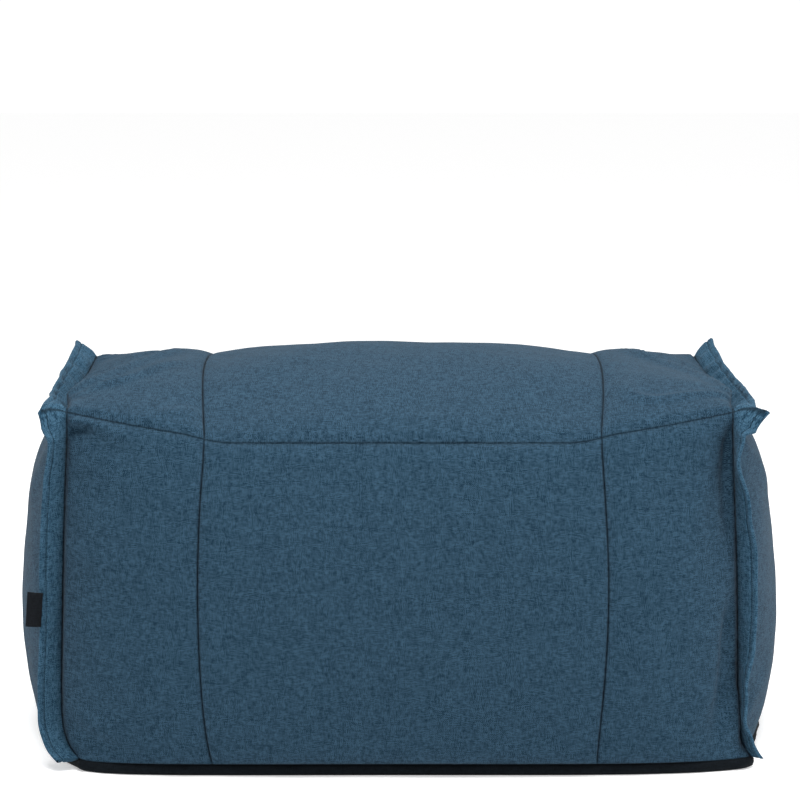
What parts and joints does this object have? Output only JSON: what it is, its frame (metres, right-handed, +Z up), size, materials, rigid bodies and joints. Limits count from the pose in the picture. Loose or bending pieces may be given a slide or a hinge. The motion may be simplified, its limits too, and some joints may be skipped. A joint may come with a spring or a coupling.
{
  "type": "bean bag footstool",
  "caption": "Low box-shaped bean bag footstool in blue linen-look cloth, with a crowned top, stand-up cloth flanges round both ends and a dark base.",
  "frame": {"origin": "on the floor, under the middle of the footstool", "axes": "+Z up, +X along its length towards the right flange, the front faces -Y"},
  "size_m": [0.7926, 0.5567, 0.3956],
  "materials": {
    "blue_cloth": "matte melange plain weave",
    "flange_cloth": "the same cloth, doubled and edge-stitched",
    "base_cloth": "smooth dark lining cloth",
    "tag_tape": "woven tape"
  },
  "bodies": {
    "root": {"filled_body": "blue_cloth", "flange_left": "flange_cloth", "flange_right": "flange_cloth", "base_panel": "base_cloth", "side_tag": "tag_tape"}
  },
  "joints": []
}
